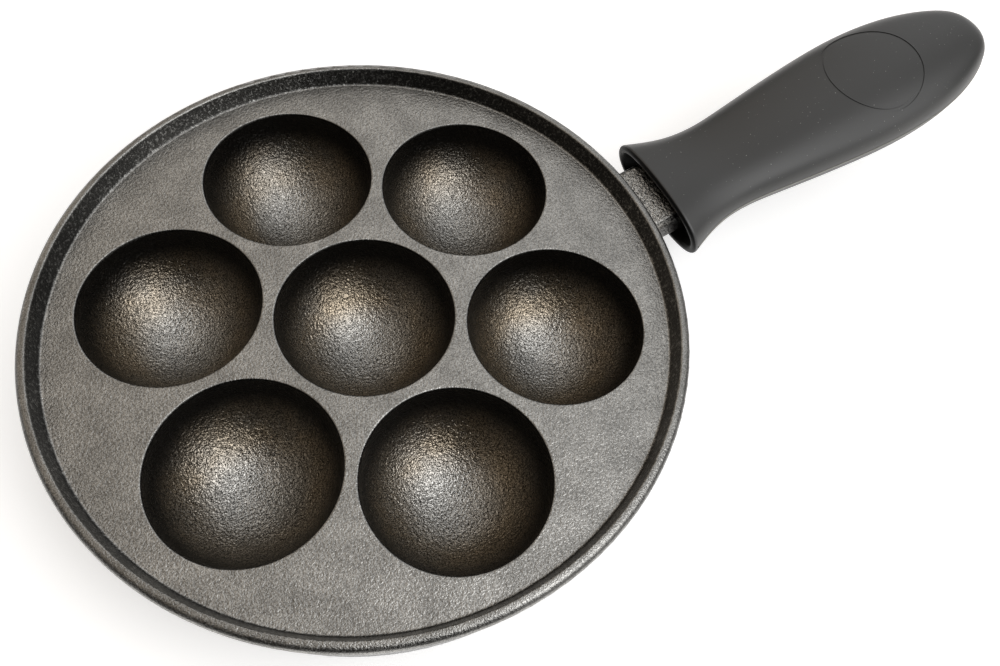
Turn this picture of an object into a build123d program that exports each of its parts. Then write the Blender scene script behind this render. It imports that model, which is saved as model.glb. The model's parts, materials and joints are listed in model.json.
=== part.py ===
from build123d import *
from math import cos, radians, sin, tan
import os

# A cast iron pan with seven round cups for ball-shaped pancakes, its handle cast in one with it,
# and the silicone sleeve that slips over that handle.
# Lengths are in millimetres and angles in degrees. Z is up. The origin is under the middle cup,
# on the plane that the pan stands on, and the handle points along +X.

# The cups: one in the middle and a ring round it, with the handle midway between two of them.
ring_cups = 6
cup_radius = 28.5
cup_lift = 1.0                # centre of a cup's sphere above the plate's face
cup_web = 4.5                 # iron between the mouths of two neighbours
cup_wall = 4.0
cup_floor = 3.5               # iron under a cup, where its dome is flat
cup_mouth_round = 0.8

# The plate that joins the cups, and the low rim round it.
plate_thickness = 4.5
plate_margin = 8.75           # from a cup's mouth to the foot of the rim
rim_height = 6.2
rim_lean = 17.5               # slope of the rim's inner face, from upright
rim_root_round = 1.0
rim_inner_round = 0.6
rim_outer_round = 2.4
rim_flat = 0.35               # the level strip along the rim's top, between its two rounds

# The skirt that the pan stands on.
skirt_draft = 7.3             # the outer face draws in towards the foot
skirt_inner_draft = 1.5       # the inner face opens towards the foot
foot_width = 3.2
foot_round = 0.9
skirt_root_round = 3.0

# The handle, cast in one with the skirt. Its lengths run along its own slope, from the rim.
handle_slope = 9.0
handle_drop = 8.25            # middle of its thickness below the plate's face, at the rim
handle_neck_width = 27.4
handle_end_width = 26.0
handle_thickness = 11.8
handle_length = 147.0
handle_edge_round = 2.6
handle_root_round = 2.4
hang_hole_radius = 6.5
hang_hole_tip_radius = 3.0
hang_hole_length = 30.0
hang_hole_wall = 8.5          # iron between the hole and the handle's end
hang_hole_round = 1.5

# The sleeve's fit on the handle.
sleeve_wall = 3.1
sleeve_clearance = 0.3        # between the handle and the socket that its shape leaves
sleeve_side_play = 1.9        # on each side of the handle, in the waist
sleeve_play = 3.0             # under the handle, in the waist
sleeve_start = 12.3           # from the rim to the middle of the sleeve's mouth
sleeve_nose = 13.5            # from the handle's end to the sleeve's tip

# The sleeve's form.
mouth_flare = 6.6             # how far the mouth stands out from the waist, on each side
mouth_flare_height = 3.1
mouth_lean = 6.6              # the mouth's top leans back towards the pan
lip_round = 1.2
grip_room = 11.2              # how far the grip stands out from the handle's end, on each side
grip_rise = 3.6               # how far its top stands above the waist
oval_length = 36.5            # the outline moulded in the top of the grip
oval_width = 38.0
oval_setback = 54.7           # from the sleeve's tip to the middle of the outline
oval_groove_width = 1.1
oval_groove_depth = 0.22

# Sizes that follow.
plate_top = cup_radius - cup_lift + cup_floor
rim_top = plate_top + rim_height
cup_centre = plate_top + cup_lift
cup_mouth_radius = (cup_radius**2 - cup_lift**2) ** 0.5
cup_spacing = 2 * cup_mouth_radius + cup_web
dome_radius = cup_radius + cup_wall
rim_foot_radius = cup_spacing + cup_mouth_radius + plate_margin
rim_inner_radius = rim_foot_radius + rim_height * tan(radians(rim_lean))
rim_inner_reach = rim_inner_round * tan(radians(90 - rim_lean) / 2)
rim_outer_reach = rim_outer_round * tan(radians(90 + skirt_draft) / 2)
rim_radius = rim_inner_radius + rim_inner_reach + rim_flat + rim_outer_reach
foot_radius = rim_radius - rim_top * tan(radians(skirt_draft))
foot_inner_radius = foot_radius - foot_width
plate_under = plate_top - plate_thickness
skirt_inner_radius = foot_inner_radius - plate_under * tan(radians(skirt_inner_draft))
handle_width = max(handle_neck_width, handle_end_width)
waist_width = handle_width + 2 * (sleeve_side_play + sleeve_wall)
waist_height = handle_thickness + sleeve_clearance + sleeve_play + 2 * sleeve_wall
grip_width = handle_end_width + 2 * grip_room
grip_swell = (grip_width - waist_width) / 2
grip_height = waist_height + 2 * grip_rise
sleeve_length = handle_length - sleeve_start + sleeve_nose
sleeve_sag = (sleeve_play - sleeve_clearance) / 2

# The handle's own frame: X along it, Y across and Z square to its top, from the rim.
handle_frame = Plane(
    origin=(rim_radius, 0, plate_top - handle_drop),
    x_dir=(cos(radians(handle_slope)), 0, sin(radians(handle_slope))),
    z_dir=(-sin(radians(handle_slope)), 0, cos(radians(handle_slope))),
)


def cup_places(height):
    """Places for the seven cups at one height."""
    ring = [place for place in PolarLocations(cup_spacing, ring_cups, start_angle=180 / ring_cups)]
    return [Pos(0, 0, height) * place for place in [Pos(0, 0, 0)] + ring]


def make_pan():
    """The skirt, plate and rim turned as one profile, with a dome and a hollow for each cup."""
    profile = FilletPolyline(
        (0, plate_top),
        (rim_foot_radius, plate_top),
        (rim_inner_radius, rim_top),
        (rim_radius, rim_top),
        (foot_radius, 0),
        (foot_inner_radius, 0),
        (skirt_inner_radius, plate_under),
        (0, plate_under),
        radius=[
            rim_root_round,
            rim_inner_round,
            rim_outer_round,
            foot_round,
            foot_round,
            skirt_root_round,
        ],
    )
    outline = Curve() + [profile, Line((0, plate_under), (0, plate_top))]
    pan = revolve(Plane.XZ * make_face(outline), Axis.Z)

    # A dome under each cup, flat where it meets the plane that the pan stands on.
    dome_room = extrude(Circle(rim_foot_radius), plate_top)
    domes = [place * Sphere(dome_radius) for place in cup_places(cup_centre)]
    pan += dome_room & (Part() + domes)

    pan -= [place * Sphere(cup_radius) for place in cup_places(cup_centre)]
    mouths = [
        edge
        for edge in pan.edges().filter_by(GeomType.CIRCLE)
        if abs(edge.center().Z - plate_top) < cup_mouth_round
        and abs(edge.radius - cup_mouth_radius) < cup_mouth_round
    ]
    return fillet(mouths, cup_mouth_round)


def make_handle():
    """A bar with rounded edges and a hole to hang it by, in the handle's own frame."""
    root = Pos(-handle_neck_width, 0) * Circle(handle_neck_width / 2)
    end = Pos(handle_length - handle_end_width / 2, 0) * Circle(handle_end_width / 2)
    bar = extrude(make_hull(root.edges() + end.edges()), handle_thickness / 2, both=True)
    bar = fillet(bar.edges().group_by(Axis.Z)[0] + bar.edges().group_by(Axis.Z)[-1], handle_edge_round)

    hole_end = handle_length - hang_hole_wall
    wide = Pos(hole_end - hang_hole_radius, 0) * Circle(hang_hole_radius)
    narrow = Pos(hole_end - hang_hole_length + hang_hole_tip_radius, 0) * Circle(hang_hole_tip_radius)
    drop = make_hull(wide.edges() + narrow.edges())
    bar -= extrude(drop, handle_thickness, both=True)
    brims = [
        edge
        for edge in bar.edges()
        if abs(abs(edge.center().Z) - handle_thickness / 2) < hang_hole_round / 2
        and abs(edge.center().Y) < hang_hole_radius + hang_hole_round / 2
        and hole_end - hang_hole_length - hang_hole_round < edge.center().X < hole_end + hang_hole_round
    ]
    return fillet(brims, hang_hole_round)


def make_casting():
    """The pan with its handle, which starts inside the skirt's wall and is rounded into it."""
    handle = handle_frame.location * make_handle()
    wall_middle = (skirt_inner_radius + foot_radius) / 2
    handle -= extrude(Circle(wall_middle), rim_top)
    casting = make_pan() + handle
    wall_reach = rim_radius - foot_radius
    root = [
        edge
        for edge in casting.edges()
        if -wall_reach < handle_frame.to_local_coords(edge.center()).X < 0
        and abs(handle_frame.to_local_coords(edge.center()).Z) < handle_thickness / 2 + handle_edge_round
        and abs(edge.center().Y) < handle_width
    ]
    return fillet(root, handle_root_round)


# Stations along the sleeve, each with its place as a share of the sleeve's length. Next come, from
# the mouth to the waist, the share of the flare; from there to the grip, the share of the swell; and
# in the nose, the shares of the grip's width and height. The last station isn't reached, because the
# nose rounds off before it.
flare_shares = [(0.0, 1.0), (0.03, 0.73), (0.06, 0.47), (0.11, 0.15), (0.185, 0.0)]
swell_shares = [(0.27, 0.18), (0.38, 0.52), (0.49, 0.81), (0.61, 1.0)]
nose_shares = [(0.71, 0.98, 0.98), (0.8, 0.9, 0.91), (0.87, 0.775, 0.825), (0.93, 0.605, 0.71)]
tip_shares = (1.0, 0.42, 0.56)
cap_turns = [22, 40, 56, 69, 79, 86]     # degrees round the nose's end, from its start to its tip
fullness_share = 0.65                    # of a section: 0.55 is an ellipse, and 1 a rectangle


def sleeve_stations(inset):
    """Place, half width and half height of each section of the sleeve's skin, or inside it."""
    half_width = waist_width / 2 - inset
    half_height = waist_height / 2 - inset
    grip_half_width = grip_width / 2
    grip_half_height = grip_height / 2
    stations = []
    for place, share in flare_shares:
        stations.append((
            place * sleeve_length,
            half_width + share * mouth_flare,
            half_height + share * mouth_flare_height,
        ))
    for place, share in swell_shares:
        stations.append((
            place * sleeve_length,
            half_width + share * grip_swell,
            half_height + share * grip_rise,
        ))
    for place, wide, high in nose_shares:
        stations.append((
            place * sleeve_length,
            wide * grip_half_width - inset,
            high * grip_half_height - inset,
        ))
    start, start_width, start_height = stations[-1]
    tip_place, wide, high = tip_shares
    tip = tip_place * sleeve_length - inset
    tip_width = wide * grip_half_width - inset
    tip_height = high * grip_half_height - inset
    for turn in cap_turns:
        along = sin(radians(turn))
        shrink = cos(radians(turn))
        stations.append((
            start + along * (tip - start),
            shrink * (start_width + along * (tip_width - start_width)),
            shrink * (start_height + along * (tip_height - start_height)),
        ))
    return stations


def sleeve_section(place, half_width, half_height):
    """One closed section, a full oval, on a plane that leans back near the mouth."""
    share = place / sleeve_length
    lean = radians(mouth_lean * (1 - share) ** 3)
    plane = Plane(origin=(place, 0, 0), x_dir=(0, 1, 0), z_dir=(cos(lean), 0, sin(lean)))
    wide = fullness_share * half_width
    high = fullness_share * half_height
    oval = Curve() + [
        Bezier((half_width, 0), (half_width, high), (wide, half_height), (0, half_height)),
        Bezier((0, half_height), (-wide, half_height), (-half_width, high), (-half_width, 0)),
        Bezier((-half_width, 0), (-half_width, -high), (-wide, -half_height), (0, -half_height)),
        Bezier((0, -half_height), (wide, -half_height), (half_width, -high), (half_width, 0)),
    ]
    return plane * make_face(oval)


def sleeve_body(inset):
    """The sleeve's outer form, or the same form this far inside it."""
    return loft([sleeve_section(*station) for station in sleeve_stations(inset)])


def make_sleeve():
    """The sleeve in its own frame: X along it from the middle of its mouth, Z square to its top."""
    skin = sleeve_body(0)

    # The socket: hollow along the whole grip, and everywhere clear of the handle.
    socket = sleeve_body(sleeve_wall)
    pocket_radius = handle_width / 2 + sleeve_clearance
    pocket_end = handle_length - sleeve_start + sleeve_clearance - pocket_radius
    outer_end = Pos(-handle_width, 0) * Circle(pocket_radius)
    inner_end = Pos(pocket_end, 0) * Circle(pocket_radius)
    pocket = extrude(
        make_hull(outer_end.edges() + inner_end.edges()),
        handle_thickness / 2 + sleeve_clearance,
        both=True,
    )
    long_edges = pocket.edges().group_by(Axis.Z)[0] + pocket.edges().group_by(Axis.Z)[-1]
    pocket = fillet(long_edges, handle_edge_round + sleeve_clearance)
    sleeve = skin - socket - Pos(0, 0, sleeve_sag) * pocket
    mouth = sleeve.faces().filter_by(GeomType.PLANE).sort_by(Axis.X)[0]
    sleeve = fillet(mouth.edges(), lip_round)

    # A fine groove round a bare oval on top of the grip.
    oval = Ellipse(oval_length / 2, oval_width / 2)
    oval -= Ellipse(oval_length / 2 - oval_groove_width, oval_width / 2 - oval_groove_width)
    groove = Pos(sleeve_length - oval_setback, 0) * extrude(oval, grip_height)
    return sleeve - (groove - sleeve_body(oval_groove_depth))


def main():
    os.makedirs("parts", exist_ok=True)
    export_step(make_casting(), "parts/pan_casting.step")
    sleeve_place = handle_frame.location * Pos(sleeve_start, 0, -sleeve_sag)
    export_step(sleeve_place * make_sleeve(), "parts/handle_sleeve.step")


main()
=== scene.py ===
import json
import math

import bmesh
import bpy
from bpy.props import FloatProperty, FloatVectorProperty, PointerProperty
from mathutils import Matrix, Vector


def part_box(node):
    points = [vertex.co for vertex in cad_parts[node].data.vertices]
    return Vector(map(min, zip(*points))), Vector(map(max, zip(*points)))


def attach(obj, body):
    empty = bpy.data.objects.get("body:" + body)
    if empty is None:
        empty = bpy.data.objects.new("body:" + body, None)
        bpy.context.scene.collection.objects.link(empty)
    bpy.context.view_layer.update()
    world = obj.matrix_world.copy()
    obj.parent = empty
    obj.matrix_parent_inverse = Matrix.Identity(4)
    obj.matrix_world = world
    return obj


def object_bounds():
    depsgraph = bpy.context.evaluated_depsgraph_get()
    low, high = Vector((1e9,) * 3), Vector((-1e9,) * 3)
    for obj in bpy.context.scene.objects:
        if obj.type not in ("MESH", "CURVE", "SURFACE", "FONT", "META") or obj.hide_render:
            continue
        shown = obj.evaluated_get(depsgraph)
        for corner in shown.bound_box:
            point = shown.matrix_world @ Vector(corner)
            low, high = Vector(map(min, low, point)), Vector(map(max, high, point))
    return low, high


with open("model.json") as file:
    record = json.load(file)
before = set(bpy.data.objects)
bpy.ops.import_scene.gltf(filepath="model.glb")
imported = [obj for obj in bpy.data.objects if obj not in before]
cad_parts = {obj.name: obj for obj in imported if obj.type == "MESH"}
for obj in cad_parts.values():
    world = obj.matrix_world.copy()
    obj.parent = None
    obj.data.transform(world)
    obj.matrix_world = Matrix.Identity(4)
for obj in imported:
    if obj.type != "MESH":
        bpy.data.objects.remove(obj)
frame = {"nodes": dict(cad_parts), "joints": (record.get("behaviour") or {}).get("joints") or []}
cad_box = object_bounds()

bl_info = {
    "name": "Aebleskiver pan",
    "version": (1, 0, 0),
    "blender": (4, 5, 0),
    "location": "View3D > Sidebar > Pan",
    "description": "Finishes a cast iron pan with seven cups and the silicone sleeve on its handle",
    "category": "Object",
}

# Blender works in metres. The handle points along +X, and +Z is up out of the cups. A place times
# LEVEL is the place straight under it, level with the origin.
MM = 0.001
UP = (0, 0, 1)
LEVEL = (1, 1, 0)
ACROSS = (0, 1, 0)
WHITE = (1, 1, 1, 1)

# The pan's own places: the height of the plate's face, and the radius of the rim's outer side, which
# is how far the casting reaches away from the handle.
PLATE = 31 * MM
RIM = -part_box("pan_casting")[0][0]

# How properties are shown and kept.
COLOUR = {"subtype": "COLOR", "size": 4, "min": 0, "max": 1}
LENGTH = {"subtype": "DISTANCE", "unit": "LENGTH"}
PLACE = {"subtype": "TRANSLATION", "unit": "LENGTH", "size": 3}

# Settings that several nodes share.
SMOOTH = {"interpolation_type": "SMOOTHSTEP"}
MULTIPLY = {"operation": "MULTIPLY"}
MAXIMUM = {"operation": "MAXIMUM"}
SUBTRACT = {"operation": "SUBTRACT"}
DOT = {"operation": "DOT_PRODUCT"}
SCALE = {"operation": "SCALE"}
BLEND = {"data_type": "RGBA"}

# The film of baked oil, and the painted shade that goes with it, begins this far under the plate's
# face, and is full this far under it.
FILM_START = 0.3 * MM
FILM_FULL = 1.2 * MM

# The room's soft lights: turn from the handle, height, reach from the middle (degrees) and strength.
# The camera stands at a turn of about 250 degrees, so its left is at 160 and its right at 340.
ROOM_LIGHTS = [
    (0, 90, 40, 0.64),    # the ceiling
    (0, 45, 40, 0.5),     # over the handle
    (60, 45, 40, 0.8),    # over the far side
    (120, 45, 40, 0.2),   # over the far left
    (180, 45, 40, 0.36),  # over the left
    (300, 45, 40, 1.7),   # the window, on the near right
    (30, 8, 35, 0.5),     # the pale wall on the far right
    (120, 8, 35, 0.7),    # the pale wall on the far left
    (300, 8, 35, 0.9),    # the wall under the window
]


def linear(colour):
    """An sRGB hex colour as the linear values that a shader takes."""
    channels = [int(colour[start:start + 2], 16) / 255 for start in (1, 3, 5)]
    return [c / 12.92 if c <= 0.04045 else ((c + 0.055) / 1.055) ** 2.4 for c in channels] + [1.0]


def add_node(tree, kind, settings=None, inputs=None):
    """Adds a node with its settings, and a value or a link for each of its inputs.

    A link is given as a socket, or as a node whose first output in use is meant.
    """
    node = tree.nodes.new(kind)
    for name, value in (settings or {}).items():
        setattr(node, name, value)
    for name, value in (inputs or {}).items():
        if isinstance(value, bpy.types.Node):
            value = next(output for output in value.outputs if output.enabled)
        if isinstance(value, bpy.types.NodeSocket):
            tree.links.new(value, node.inputs[name])
        else:
            node.inputs[name].default_value = value
    return node


def new_material(name):
    """A material with an empty node tree."""
    material = bpy.data.materials.new(name)
    material.use_nodes = True
    tree = material.node_tree
    tree.nodes.clear()
    return material, tree


def give_material(piece, material):
    """Makes this the only material of a piece."""
    piece.data.materials.clear()
    piece.data.materials.append(material)


def select_only(piece):
    """Leaves one object selected and active, because operators act on all that is selected."""
    bpy.ops.object.select_all(action="DESELECT")
    piece.select_set(True)
    bpy.context.view_layer.objects.active = piece


class IronSettings(bpy.types.PropertyGroup):
    """The casting's surface, and the places on it where the finish changes."""

    iron: FloatVectorProperty(
        name="Iron",
        description="Grey of the level faces, which have no thick film of oil",
        default=linear("#969592"),
        **COLOUR,
    )
    tinge: FloatVectorProperty(
        name="Tinge",
        description="Golden brown of the thin oil on the cups' slopes",
        default=linear("#8a7f6f"),
        **COLOUR,
    )
    # Partly the black of baked oil, partly painted shade on the steep faces, the mouths and the rim.
    seasoning_and_shade: FloatVectorProperty(
        name="Seasoning",
        description="Black of the baked oil on the steep faces",
        default=linear("#14120f"),
        **COLOUR,
    )
    film_gloss: FloatProperty(
        name="Film gloss",
        description="How much gloss of its own a full film of baked oil has",
        subtype="FACTOR",
        min=0,
        max=1,
        default=0.3,
    )
    sand_grain: FloatProperty(
        name="Sand grain",
        description="Width of the grains that the mould's sand leaves",
        default=0.4 * MM,
        **LENGTH,
    )
    grain_depth: FloatProperty(
        name="Grain depth",
        description="Height of the sand's grains",
        default=0.16 * MM,
        **LENGTH,
    )
    pebble: FloatProperty(
        name="Pebble",
        description="Width of the coarser bumps under the grain",
        default=1 * MM,
        **LENGTH,
    )
    pebble_depth: FloatProperty(
        name="Pebble depth",
        description="Height of the coarser bumps",
        default=0.32 * MM,
        **LENGTH,
    )
    blotch: FloatProperty(
        name="Blotch",
        description="Width of the blotches of oil",
        default=22 * MM,
        **LENGTH,
    )
    plate_height: FloatProperty(
        name="Plate height",
        description="Height of the plate's face, where the cups begin",
        default=PLATE,
        **LENGTH,
    )
    cup_depth: FloatProperty(
        name="Cup depth",
        description="How far a cup's floor lies under the plate's face",
        default=27.5 * MM,
        **LENGTH,
    )
    rim_side: FloatProperty(
        name="Rim side",
        description="Radius of the rim's outer side",
        default=RIM,
        **LENGTH,
    )
    rim_top: FloatProperty(
        name="Rim top",
        description="Width of the rim's top, with its rounds",
        default=3.19 * MM,
        **LENGTH,
    )
    rim_face: FloatProperty(
        name="Rim face",
        description="How far the rim's inner face leans out from its foot",
        default=1.95 * MM,
        **LENGTH,
    )


class SiliconeSettings(bpy.types.PropertyGroup):
    """The sleeve's surface and its parting line."""

    silicone: FloatVectorProperty(
        name="Silicone",
        description="Colour of the moulded silicone",
        default=linear("#212120"),
        **COLOUR,
    )
    lint: FloatVectorProperty(
        name="Lint",
        description="Colour of the lint that silicone holds",
        default=linear("#a8a8a2"),
        **COLOUR,
    )
    # A painted highlight: the bead along the parting line is painted paler than the skin.
    flash_painted_highlight: FloatVectorProperty(
        name="Flash",
        description="Paler colour of the thin flash along the parting line",
        default=linear("#8a8a83"),
        **COLOUR,
    )
    # Painted shade: the near-black that the socket and the lip are painted.
    oil: FloatVectorProperty(
        name="Oil",
        description="Colour of the socket and the lip, blackened by oil",
        default=linear("#0c0c0c"),
        **COLOUR,
    )
    lint_gap: FloatProperty(
        name="Lint gap",
        description="How far apart the specks of lint lie",
        default=1.9 * MM,
        **LENGTH,
    )
    lint_drift: FloatProperty(
        name="Lint drift",
        description="Width of the patches where the lint gathers",
        default=25 * MM,
        **LENGTH,
    )
    skin_grain: FloatProperty(
        name="Skin grain",
        description="Width of the grain that the blasted mould leaves",
        default=0.4 * MM,
        **LENGTH,
    )
    grain_depth: FloatProperty(
        name="Grain depth",
        description="Height of the skin's grain",
        default=0.05 * MM,
        **LENGTH,
    )
    mouth: FloatVectorProperty(
        name="Mouth",
        description="Middle of the sleeve's mouth, on the plane where the mould's halves met",
        default=(116.5 * MM, 0, 23.34 * MM),
        **PLACE,
    )
    bead: FloatProperty(
        name="Parting bead",
        description="How far the parting line stands out of the skin",
        default=0.3 * MM,
        **LENGTH,
    )
    bead_start: FloatProperty(
        name="Bead start",
        description="How far from the sleeve's mouth the parting line starts",
        default=2 * MM,
        **LENGTH,
    )


class StageSettings(bpy.types.PropertyGroup):
    """The floor, the light and the camera."""

    floor: FloatVectorProperty(
        name="Floor",
        description="Colour of the floor",
        default=linear("#f6f6f6"),
        **COLOUR,
    )
    floor_lift: FloatProperty(
        name="Floor lift",
        description="How much brighter the floor shows than the light makes it, where 1 is white",
        default=0.45,
    )
    floor_size: FloatProperty(
        name="Floor size",
        description="Side of the square floor",
        default=8,
        **LENGTH,
    )
    warm: FloatVectorProperty(
        name="Warm",
        description="Colour of the light from the room's warm side",
        default=linear("#fff1e0"),
        **COLOUR,
    )
    cool_side: FloatVectorProperty(
        name="Cool side",
        description="The way to the side of the room that gives white light",
        subtype="DIRECTION",
        default=(0.87, -0.5, 0),
    )
    lamp_power: FloatProperty(
        name="Lamp power",
        description="Power of the soft lamp",
        subtype="POWER",
        unit="POWER",
        default=0.28,
    )
    lamp_size: FloatProperty(
        name="Lamp size",
        description="Side of the soft lamp",
        default=0.22,
        **LENGTH,
    )
    lamp_place: FloatVectorProperty(
        name="Lamp place",
        description="Where the soft lamp hangs",
        default=(0.108, -0.234, 0.263),
        **PLACE,
    )
    lamp_target: FloatVectorProperty(
        name="Lamp target",
        description="Where the soft lamp points, the middle of the plate's face",
        default=(0, 0, PLATE),
        **PLACE,
    )
    camera_place: FloatVectorProperty(
        name="Camera place",
        description="Where the photograph was taken from",
        default=(-50.62 * MM, -128.32 * MM, 271.63 * MM),
        **PLACE,
    )
    camera_target: FloatVectorProperty(
        name="Camera target",
        description="The place on the plate's face that the camera looks at",
        default=(28.57 * MM, -22.32 * MM, PLATE),
        **PLACE,
    )
    camera_roll: FloatProperty(
        name="Camera roll",
        description="How far the camera is turned about its own line of sight",
        subtype="ANGLE",
        unit="ROTATION",
        default=math.radians(8.66),
    )
    camera_lens: FloatProperty(
        name="Camera lens",
        description="Focal length, in millimetres",
        subtype="DISTANCE_CAMERA",
        unit="CAMERA",
        default=30.96,
    )
    camera_shift: FloatProperty(
        name="Camera shift",
        description="How far the photograph's frame is shifted sideways, as a share of its width",
        default=0.0231,
    )


def zone(tree, *steps, within=1):
    """A zone of a surface or of the sky, as the product of smooth steps within another zone.

    A step has the value that it reads, the limits where it starts and ends, and its level at each,
    which is 0 and 1 where none are given. A noise lies mostly between 0.3 and 0.7.
    """
    share = within
    for value, start, end, *levels in steps:
        low, high = levels or (0, 1)
        limits = {"Value": value, "From Min": start, "From Max": end, "To Min": low, "To Max": high}
        step = add_node(tree, "ShaderNodeMapRange", SMOOTH, limits)
        share = add_node(tree, "ShaderNodeMath", MULTIPLY, {0: share, 1: step})
    return share


def film_and_shade_on_walls(tree, settings, upright, height, radius, clouds):
    """The film of baked oil on the cups' walls, the pan's side and its underside, partly painted shade.
    """
    plate = settings.plate_height
    side_start = settings.rim_side - 1.2 * MM
    side_end = settings.rim_side - 0.2 * MM
    outside = zone(tree, (radius, side_start, side_end))
    inside = zone(tree, (height, plate - FILM_START, plate - FILM_FULL), (outside, 1, 0))

    # Up the outside the film fades out, along an edge that sways as the oil ran.
    side_share = 0.9
    fade_start = plate - 3 * MM
    fade_end = plate + 10 * MM
    sway = {0: clouds, 1: 8 * MM, 2: height}
    swaying = add_node(tree, "ShaderNodeMath", {"operation": "MULTIPLY_ADD"}, sway)
    fading = zone(tree, (swaying, fade_end, fade_start, 0, side_share), within=outside)
    film = add_node(tree, "ShaderNodeMath", {"operation": "ADD"}, {0: inside, 1: fading})

    # It is as much painted shade as oil: it needs a steep face, so that the walls are painted dark, and
    # under the pan the hob has scoured it thinner. Upright is 1 on a level face, 0 on a wall and -1 on a
    # face that looks straight down.
    steep = (upright, 0.8, 0.25)
    scoured_share = 0.6
    scoured = (upright, -0.6, -0.2, scoured_share, 1)
    return zone(tree, steep, scoured, within=film)


def shade_on_mouths(tree, settings, upright, height):
    """Painted shade on the round of each cup's mouth, which starts right at the plate's face."""
    plate = settings.plate_height
    below_face = (height, plate - 0.02 * MM, plate - 0.2 * MM)
    above_wall = (height, plate - 4 * MM, plate - 1 * MM)
    turned_down = (upright, 0.98, 0.85)
    return zone(tree, below_face, above_wall, turned_down)


def shade_on_rim(tree, settings, place, height, radius):
    """Painted shade on the rim's inner face, and on its top, where it darkens towards the outer round."""
    plate = settings.plate_height
    side = settings.rim_side
    edge = side - settings.rim_top
    foot = edge - settings.rim_face

    # The inner face is rough, and a rough noise breaks its painted shade into paler specks.
    rough = add_node(
        tree,
        "ShaderNodeTexNoise",
        inputs={"Vector": place, "Scale": 1 / settings.pebble, "Detail": 2, "Roughness": 0.7},
    )
    face_share = 0.84
    speck_share = 0.25
    face_start = (radius, foot - 0.5 * MM, foot, 0, face_share)
    face_end = (radius, edge, edge - 0.3 * MM)
    speckled = (rough, 0.52, 0.66, 1, speck_share)
    face = zone(tree, face_start, face_end, speckled)

    # On the top the painted shade grows from the inner edge towards the outer round.
    inner_top_shade = 0.12
    outer_round_shade = 0.75
    top_start = (radius, edge, edge + 0.3 * MM)
    top_end = (radius, side - 0.2 * MM, side - 0.6 * MM)
    darker_outward = (radius, side - 1.7 * MM, side - 0.8 * MM, inner_top_shade, outer_round_shade)
    top = zone(tree, darker_outward, top_start, top_end)
    rim = add_node(tree, "ShaderNodeMath", MAXIMUM, {0: face, 1: top})
    return zone(tree, (height, plate - FILM_FULL, plate - FILM_START), within=rim)


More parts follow.
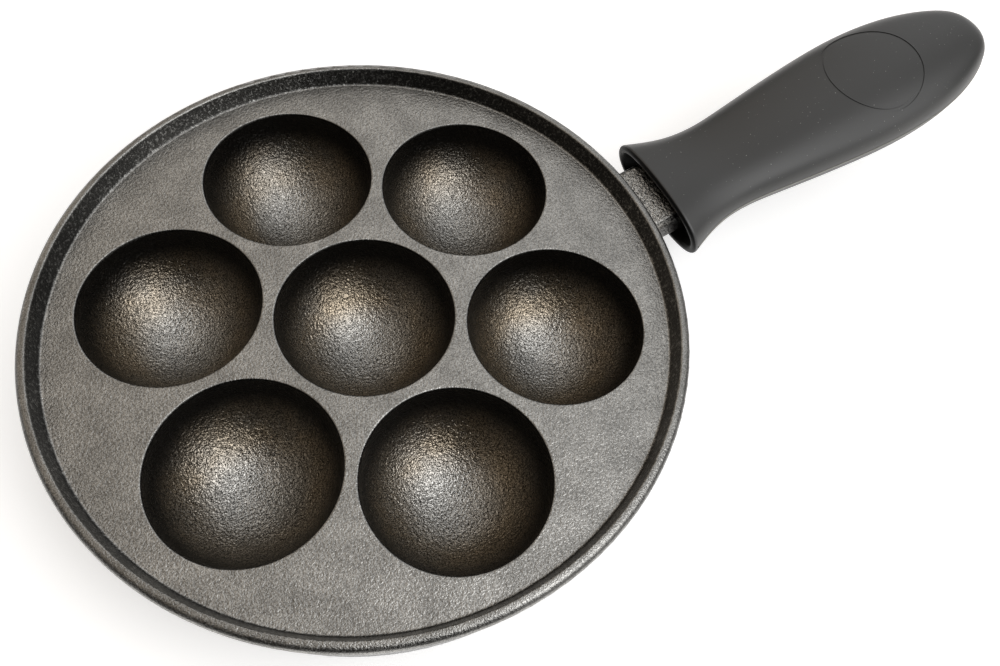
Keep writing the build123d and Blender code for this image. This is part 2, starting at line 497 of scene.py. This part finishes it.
def cast_iron(settings):
    """Cast iron, poured in a sand mould, blasted and seasoned with baked oil."""
    # The sand leaves a hard grain, which breaks every reflection into sparkles. The level faces are
    # grey, the cups' slopes golden with thin oil, and the steep faces black: partly a baked film, which
    # has a faint gloss of its own, and partly painted shade. The cups' mouths and the rim carry painted
    # shade only.
    material, tree = new_material("cast_iron_seasoned")
    coordinates = add_node(tree, "ShaderNodeTexCoord")
    place = coordinates.outputs["Object"]
    upright = add_node(tree, "ShaderNodeVectorMath", DOT, {0: coordinates.outputs["Normal"], 1: UP})
    height = add_node(tree, "ShaderNodeVectorMath", DOT, {0: place, 1: UP})
    level = add_node(tree, "ShaderNodeVectorMath", MULTIPLY, {0: place, 1: LEVEL})
    radius = add_node(tree, "ShaderNodeVectorMath", {"operation": "LENGTH"}, {0: level})

    # The edge of the baked film and the iron's shades drift in clouds half as wide as the blotches.
    clouds = add_node(
        tree,
        "ShaderNodeTexNoise",
        inputs={"Vector": place, "Scale": 2 / settings.blotch, "Detail": 2, "Roughness": 0.5},
    )
    walls = film_and_shade_on_walls(tree, settings, upright, height, radius, clouds)
    mouth_round_shade = shade_on_mouths(tree, settings, upright, height)
    rim = shade_on_rim(tree, settings, place, height, radius)
    # Partly baked oil and partly painted shade, which alone darkens the mouths' rounds and the rim.
    film = add_node(tree, "ShaderNodeMath", MAXIMUM, {0: walls, 1: mouth_round_shade})
    film = add_node(tree, "ShaderNodeMath", MAXIMUM, {0: film, 1: rim})

    # Thin oil colours the slopes in the cups, more in some blotches than in others.
    blotches = add_node(
        tree,
        "ShaderNodeTexNoise",
        inputs={"Vector": place, "Scale": 1 / settings.blotch, "Detail": 3, "Roughness": 0.6},
    )
    least_oil = 0.55
    in_cup = zone(tree, (height, settings.plate_height, settings.plate_height - settings.cup_depth / 4))
    sloping = (upright, 1, 0.75)
    blotchy = (blotches, 0.35, 0.65, least_oil, 1)
    thin_oil = zone(tree, sloping, blotchy, within=in_cup)
    golden = {"Factor": thin_oil, "A": settings.iron, "B": settings.tinge}
    oiled = add_node(tree, "ShaderNodeMix", BLEND, golden)
    coated_and_shaded = add_node(tree, "ShaderNodeMix", BLEND, {"Factor": film, "A": oiled, "B": settings.seasoning_and_shade})

    # The grain's pits are painted darker, as painted shade, and its tops paler, as a painted highlight,
    # most of all in the cups and on the handle, where the sand was coarser. The grain is drawn coarse
    # enough to show.
    handle = zone(tree, (radius, settings.rim_side, settings.rim_side + 1 * MM))
    coarse = add_node(tree, "ShaderNodeMath", MAXIMUM, {0: in_cup, 1: handle})
    grain = add_node(
        tree,
        "ShaderNodeTexNoise",
        inputs={"Vector": place, "Scale": 1 / settings.sand_grain, "Detail": 1, "Roughness": 0.5},
    )
    # Each painted shade and highlight goes from the plate's level to that of the coarse places.
    pit_painted_shade = zone(tree, (coarse, 0, 1, 0.65, 0.15))
    top_painted_light = zone(tree, (coarse, 0, 1, 1.35, 1.85))
    painted_grain_light = (grain, 0.3, 0.7, pit_painted_shade, top_painted_light)
    cloudy = (clouds, 0.3, 0.7, 0.88, 1.12)
    shades = {0: coated_and_shaded, "Scale": zone(tree, painted_grain_light, cloudy)}
    colour = add_node(tree, "ShaderNodeVectorMath", SCALE, shades)

    # The grain's bumps stand on coarser ones, which are lower on the plate.
    fine = add_node(
        tree,
        "ShaderNodeBump",
        inputs={"Height": grain, "Strength": 1, "Distance": settings.grain_depth},
    )
    pebbles = add_node(
        tree,
        "ShaderNodeTexNoise",
        inputs={"Vector": place, "Scale": 1 / settings.pebble, "Detail": 1, "Roughness": 0.5},
    )
    plate_share = 0.6
    raised = zone(tree, (coarse, 0, 1, plate_share, 1), within=pebbles)
    bumps = add_node(
        tree,
        "ShaderNodeBump",
        inputs={"Height": raised, "Strength": 1, "Distance": settings.pebble_depth, "Normal": fine},
    )
    gloss = add_node(tree, "ShaderNodeMath", MULTIPLY, {0: film, 1: settings.film_gloss})
    # The metal itself is smoother than blasted iron looks, because the bumps give the rest.
    surface = add_node(
        tree,
        "ShaderNodeBsdfPrincipled",
        inputs={
            "Base Color": colour,
            "Metallic": 1,
            "Roughness": 0.3,
            "Normal": bumps,
            "Coat Weight": gloss,
            "Coat Roughness": 0.3,
            "Coat IOR": 1.5,
            "Coat Normal": bumps,
        },
    )
    add_node(tree, "ShaderNodeOutputMaterial", inputs={"Surface": surface})
    return material


def moulded_silicone(name, tint, settings, along):
    """Silicone rubber, pressed in a blasted steel mould."""
    # To the eye the fine matt skin spreads every highlight wide, and holds specks of pale lint. The
    # socket and the lip round its mouth are painted near-black and dulled, as painted shade.
    material, tree = new_material(name)
    coordinates = add_node(tree, "ShaderNodeTexCoord")
    place = coordinates.outputs["Object"]
    normal = coordinates.outputs["Normal"]

    # The specks of lint differ in how pale they are, and gather in drifts. The limits of a speck are
    # shares of the gap between two, and make it about 0.15 mm in radius.
    specks = add_node(
        tree,
        "ShaderNodeTexVoronoi",
        inputs={"Vector": place, "Scale": 1 / settings.lint_gap},
    )
    paleness = add_node(tree, "ShaderNodeSeparateColor", inputs={"Color": specks.outputs["Color"]})
    drifts = add_node(
        tree,
        "ShaderNodeTexNoise",
        inputs={"Vector": place, "Scale": 1 / settings.lint_drift, "Detail": 2, "Roughness": 0.5},
    )
    least_lint = 0.3
    on_speck = (specks, 0.09, 0.07)
    drifting = (drifts, 0.35, 0.6, least_lint, 1)
    linted = zone(tree, on_speck, drifting, within=paleness)
    dusty = add_node(tree, "ShaderNodeMix", BLEND, {"Factor": linted, "A": tint, "B": settings.lint})

    # The socket's walls face the middle of the sleeve, and the lip faces the pan. Both are painted
    # near-black, as painted shade, and their shine is lowered.
    from_mouth = add_node(tree, "ShaderNodeVectorMath", SUBTRACT, {0: place, 1: settings.mouth})
    distance = add_node(tree, "ShaderNodeVectorMath", DOT, {0: from_mouth, 1: along})
    middle = add_node(tree, "ShaderNodeVectorMath", SCALE, {0: along, "Scale": distance})
    outward = add_node(tree, "ShaderNodeVectorMath", SUBTRACT, {0: from_mouth, 1: middle})
    turned_out = add_node(tree, "ShaderNodeVectorMath", DOT, {0: normal, 1: outward})
    turned_along = add_node(tree, "ShaderNodeVectorMath", DOT, {0: normal, 1: along})
    socket = zone(tree, (turned_out, 0, -1 * MM))
    lip = zone(tree, (turned_along, -0.2, -0.6))
    socket_and_lip_shade = add_node(tree, "ShaderNodeMath", MAXIMUM, {0: socket, 1: lip})
    colour = add_node(tree, "ShaderNodeMix", BLEND, {"Factor": socket_and_lip_shade, "A": dusty, "B": settings.oil})
    skin_shine = 0.7
    shaded_shine = 0.1
    shine = zone(tree, (socket_and_lip_shade, 0, 1, skin_shine, shaded_shine))

    # The real grain is too fine to show, so it is drawn about as wide as a pixel of the photograph.
    grain = add_node(
        tree,
        "ShaderNodeTexNoise",
        inputs={"Vector": place, "Scale": 1 / settings.skin_grain, "Detail": 2, "Roughness": 0.5},
    )
    skin = add_node(
        tree,
        "ShaderNodeBump",
        inputs={"Height": grain, "Strength": 0.25, "Distance": settings.grain_depth},
    )
    surface = add_node(
        tree,
        "ShaderNodeBsdfPrincipled",
        inputs={
            "Base Color": colour,
            "Roughness": 0.4,
            "IOR": 1.5,
            "Specular IOR Level": shine,
            "Sheen Weight": 0.12,
            "Sheen Roughness": 0.4,
            "Normal": skin,
        },
    )
    add_node(tree, "ShaderNodeOutputMaterial", inputs={"Surface": surface})
    return material


def studio_paper(settings):
    """Matt paper that covers the floor."""
    # It spreads light evenly, so the eye sees only the object's soft shadow on it. The camera and
    # reflections see it glow a little too, which makes it white and puts no light on the object.
    material, tree = new_material("floor_paper")
    paper = add_node(tree, "ShaderNodeBsdfDiffuse", inputs={"Color": settings.floor})
    ray = add_node(tree, "ShaderNodeLightPath")
    seen = add_node(
        tree,
        "ShaderNodeMath",
        MAXIMUM,
        {0: ray.outputs["Is Camera Ray"], 1: ray.outputs["Is Glossy Ray"]},
    )
    lift = add_node(tree, "ShaderNodeMath", MULTIPLY, {0: seen, 1: settings.floor_lift})
    glow = add_node(tree, "ShaderNodeEmission", inputs={"Color": WHITE, "Strength": lift})
    both = add_node(tree, "ShaderNodeAddShader", inputs={0: paper, 1: glow})
    add_node(tree, "ShaderNodeOutputMaterial", inputs={"Surface": both})
    return material


def room(settings):
    """A world of soft patches of light, with a white backdrop that only the camera sees."""
    world = bpy.data.worlds.new("room")
    world.use_nodes = True
    tree = world.node_tree
    tree.nodes.clear()
    way = add_node(tree, "ShaderNodeTexCoord").outputs["Generated"]

    # Each patch goes from nothing at its edge to its full strength in its middle.
    strength = 0
    for turn, height, reach, full in ROOM_LIGHTS:
        turn, height, reach = (math.radians(angle) for angle in (turn, height, reach))
        level = math.cos(height)
        middle = (level * math.cos(turn), level * math.sin(turn), math.sin(height))
        near = add_node(tree, "ShaderNodeVectorMath", DOT, {0: way, 1: middle})
        patch = zone(tree, (near, math.cos(reach), 1, 0, full))
        strength = add_node(tree, "ShaderNodeMath", {"operation": "ADD"}, {0: patch, 1: strength})

    # The wall on the camera's left has a warm colour.
    side = add_node(tree, "ShaderNodeVectorMath", DOT, {0: way, 1: settings.cool_side})
    cool = zone(tree, (side, -0.6, 0.3))
    colour = add_node(tree, "ShaderNodeMix", BLEND, {"Factor": cool, "A": settings.warm, "B": WHITE})
    light = add_node(tree, "ShaderNodeBackground", inputs={"Color": colour, "Strength": strength})
    backdrop = add_node(tree, "ShaderNodeBackground", inputs={"Color": WHITE, "Strength": 1})
    seen = add_node(tree, "ShaderNodeLightPath").outputs["Is Camera Ray"]
    shown = add_node(tree, "ShaderNodeMixShader", inputs={0: seen, 1: light, 2: backdrop})
    add_node(tree, "ShaderNodeOutputWorld", inputs={"Surface": shown})
    return world


class PAN_OT_season_casting(bpy.types.Operator):
    """Gives the casting its seasoned iron surface"""

    bl_idname = "pan.season_casting"
    bl_label = "Season the casting"

    def execute(self, context):
        give_material(frame["nodes"]["pan_casting"], cast_iron(context.scene.pan_iron))
        return {"FINISHED"}


class PAN_OT_mould_sleeve(bpy.types.Operator):
    """Gives the sleeve its silicone surface and the line where the mould's halves met"""

    bl_idname = "pan.mould_sleeve"
    bl_label = "Mould the sleeve"

    def execute(self, context):
        settings = context.scene.pan_silicone
        along = Vector(frame["joints"][0]["axis"])
        across = Vector(ACROSS)
        mouth = Vector(settings.mouth)
        merging = 0.01 * MM
        cutting = 0.001 * MM
        sleeve = frame["nodes"]["handle_sleeve"]
        give_material(sleeve, moulded_silicone("silicone_moulded", settings.silicone, settings, along))

        # The line follows the sleeve's skin, so it starts as a copy of the sleeve.
        select_only(sleeve)
        bpy.ops.object.duplicate()
        line = context.object
        line.name = "sleeve_parting_line"
        bpy.ops.object.mode_set(mode="EDIT")
        bpy.ops.mesh.select_all(action="SELECT")
        bpy.ops.mesh.remove_doubles(threshold=merging)

        # The socket and the lip go: they face neither outwards nor the sleeve's tip.
        least_outward = 0.65
        least_along = 0.5
        bpy.ops.mesh.select_all(action="DESELECT")
        skin = bmesh.from_edit_mesh(line.data)
        for face in skin.faces:
            centre = face.calc_center_median() - mouth
            outward = (centre - centre.dot(along) * along).normalized()
            turned_out = face.normal.dot(outward) > least_outward
            face.select_set(not turned_out and face.normal.dot(along) < least_along)
        bmesh.update_edit_mesh(line.data)
        bpy.ops.mesh.delete(type="FACE")

        # The plane where the mould's halves met cuts the skin, and only the cut is left.
        bpy.ops.mesh.select_all(action="SELECT")
        bpy.ops.mesh.bisect(
            plane_co=mouth,
            plane_no=along.cross(across),
            clear_inner=True,
            clear_outer=True,
        )
        bpy.ops.object.mode_set(mode="OBJECT")
        if not line.data.edges:
            raise RuntimeError("The mould's plane misses the sleeve's skin")

        # A round bead runs along it, half sunk in the skin.
        bpy.ops.object.convert(target="CURVE")
        line = context.object
        line.data.bevel_depth = settings.bead
        line.data.bevel_resolution = 2
        line.data.use_fill_caps = True
        bpy.ops.object.convert(target="MESH")

        # It is trimmed clear of the mouth's lip, and flush with the sleeve's tip.
        bpy.ops.object.mode_set(mode="EDIT")
        bpy.ops.mesh.select_all(action="SELECT")
        bpy.ops.mesh.bisect(
            plane_co=mouth + settings.bead_start * along,
            plane_no=along,
            threshold=cutting,
            clear_inner=True,
            use_fill=True,
        )
        bpy.ops.mesh.select_all(action="SELECT")
        bpy.ops.mesh.bisect(
            plane_co=cad_box[1],
            plane_no=(1, 0, 0),
            threshold=cutting,
            clear_outer=True,
            use_fill=True,
        )
        bpy.ops.object.mode_set(mode="OBJECT")
        bpy.ops.object.shade_smooth()
        bead = context.object
        # The bead is painted paler, as a painted highlight along the parting line.
        give_material(bead, moulded_silicone("silicone_painted_highlight", settings.flash_painted_highlight, settings, along))
        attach(bead, "sleeve")
        return {"FINISHED"}


class PAN_OT_set_stage(bpy.types.Operator):
    """Lays the floor and hangs the lamp, and puts the camera where the photograph was taken"""

    bl_idname = "pan.set_stage"
    bl_label = "Set the stage"

    def execute(self, context):
        scene = context.scene
        settings = scene.pan_stage
        bpy.ops.object.select_all(action="DESELECT")
        bpy.ops.mesh.primitive_plane_add(size=settings.floor_size)
        floor = context.object
        floor.name = "floor"
        give_material(floor, studio_paper(settings))
        scene.world = room(settings)

        bpy.ops.object.light_add(type="AREA", location=settings.lamp_place)
        lamp = context.object
        lamp.name = "soft_lamp"
        lamp.data.shape = "SQUARE"
        lamp.data.size = settings.lamp_size
        lamp.data.energy = settings.lamp_power
        lamp.visible_camera = False
        aim = Vector(settings.lamp_target) - Vector(settings.lamp_place)
        lamp.rotation_euler = aim.to_track_quat("-Z", "Y").to_euler()

        bpy.ops.object.camera_add()
        camera = context.object
        camera.data.lens = settings.camera_lens
        camera.data.shift_x = settings.camera_shift
        camera.data.clip_start = 10 * MM
        eye = Vector(settings.camera_place)
        aim = Vector(settings.camera_target) - eye
        turn = aim.to_track_quat("-Z", "Y").to_matrix().to_4x4()
        roll = Matrix.Rotation(settings.camera_roll, 4, "Z")
        camera.matrix_world = Matrix.Translation(eye) @ turn @ roll
        scene.camera = camera
        scene.view_settings.view_transform = "Standard"
        return {"FINISHED"}


class PAN_PT_panel(bpy.types.Panel):
    """Lists the pan's steps in the sidebar, each with its settings"""

    bl_idname = "PAN_PT_panel"
    bl_label = "Aebleskiver pan"
    bl_space_type = "VIEW_3D"
    bl_region_type = "UI"
    bl_category = "Pan"

    def draw(self, context):
        for step, name, group in STEPS:
            box = self.layout.box()
            box.operator(step.bl_idname)
            for setting in group.__annotations__:
                box.prop(getattr(context.scene, name), setting)


# Each step's operator, the name of its settings in the scene, and their group.
STEPS = [
    (PAN_OT_season_casting, "pan_iron", IronSettings),
    (PAN_OT_mould_sleeve, "pan_silicone", SiliconeSettings),
    (PAN_OT_set_stage, "pan_stage", StageSettings),
]


def register():
    """Registers each step with its settings, and the panel."""
    for step, name, group in STEPS:
        bpy.utils.register_class(group)
        setattr(bpy.types.Scene, name, PointerProperty(type=group))
        bpy.utils.register_class(step)
    bpy.utils.register_class(PAN_PT_panel)


def unregister():
    """Takes away all that register added."""
    bpy.utils.unregister_class(PAN_PT_panel)
    for step, name, group in reversed(STEPS):
        bpy.utils.unregister_class(step)
        delattr(bpy.types.Scene, name)
        bpy.utils.unregister_class(group)


def main():
    """Finishes the pan and sets the stage."""
    register()
    bpy.ops.pan.season_casting()
    bpy.ops.pan.mould_sleeve()
    bpy.ops.pan.set_stage()


if __name__ == "__main__":
    main()
